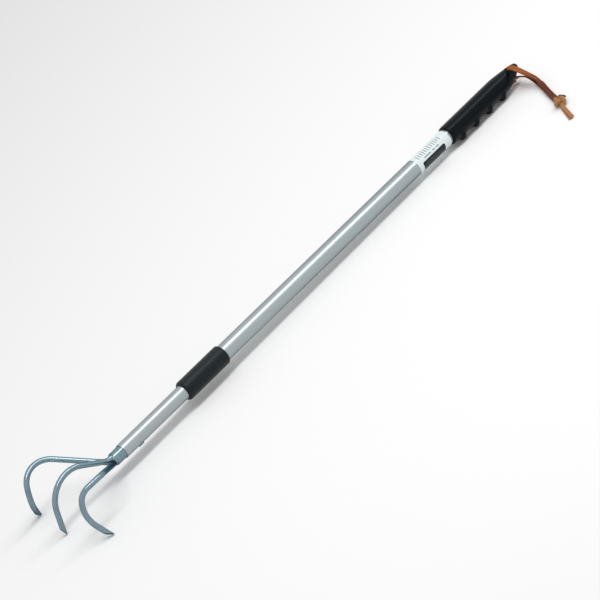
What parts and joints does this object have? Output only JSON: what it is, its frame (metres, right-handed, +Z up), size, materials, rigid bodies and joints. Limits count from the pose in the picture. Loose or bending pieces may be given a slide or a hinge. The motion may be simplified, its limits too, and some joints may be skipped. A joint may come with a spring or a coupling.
{
  "type": "long handled cultivator claw",
  "caption": "Telescopic garden cultivator: three hooked steel rod tines on a two-tube aluminium pole with an inner twist lock, finger-groove grip and a leather hanging thong.",
  "frame": {"origin": "on the ground under the middle of the tool's box, without the thong, as the tool lies on its two side tines and one finger ridge", "axes": "+X towards the grip, -X towards the claw; +Z up, square to the ground; +Y towards the back, so the thong lies on the -Y side"},
  "size_m": [0.879, 0.2159, 0.0668],
  "materials": {
    "tube_aluminium": "drawn aluminium tube, satin anodised",
    "grip_vinyl": "black soft vinyl, glossy, moulded",
    "label_film": "white film label with plain panels, no lettering",
    "sleeve_plastic": "black moulded plastic, satin",
    "bush_plastic": "natural acetal bush",
    "plug_plastic": "black nylon",
    "lock_plastic": "natural nylon expander and cone",
    "turned_steel": "bright turned steel",
    "zinc_steel": "bright zinc-plated steel",
    "weld_steel": "zinc-plated weld bead",
    "rivet_aluminium": "blind rivet, aluminium body",
    "thong_leather": "tan oiled leather strap, cut edges"
  },
  "bodies": {
    "handle": {"outer_tube": "tube_aluminium", "hand_grip": "grip_vinyl", "label": "label_film", "sleeve": "sleeve_plastic", "guide_bush": "bush_plastic", "thong_upper": "thong_leather", "thong_lower": "thong_leather", "thong_knot": "thong_leather", "thong_tails": "thong_leather"},
    "lock": {"expander_sleeve": "lock_plastic", "cone_nut": "lock_plastic"},
    "claw": {"inner_tube": "tube_aluminium", "end_plug": "plug_plastic", "plug_pin": "turned_steel", "lock_stud": "turned_steel", "stop_washer": "turned_steel", "ferrule": "zinc_steel", "rivet": "rivet_aluminium", "rivet_mandrel": "turned_steel", "tine_left": "zinc_steel", "tine_middle": "zinc_steel", "tine_right": "zinc_steel", "weld_beads": "weld_steel"}
  },
  "joints": [
    {"name": "extension", "type": "slide", "parent": "handle", "child": "lock", "axis": [-0.9999, 0, 0.0138], "range_m": [0, 0.47]},
    {"name": "twist_lock", "type": "hinge", "parent": "lock", "child": "claw", "pos_m": [-0.20411, 0, 0.02599], "axis": [-0.9999, 0, 0.0138], "range_deg": [0, 180]}
  ]
}
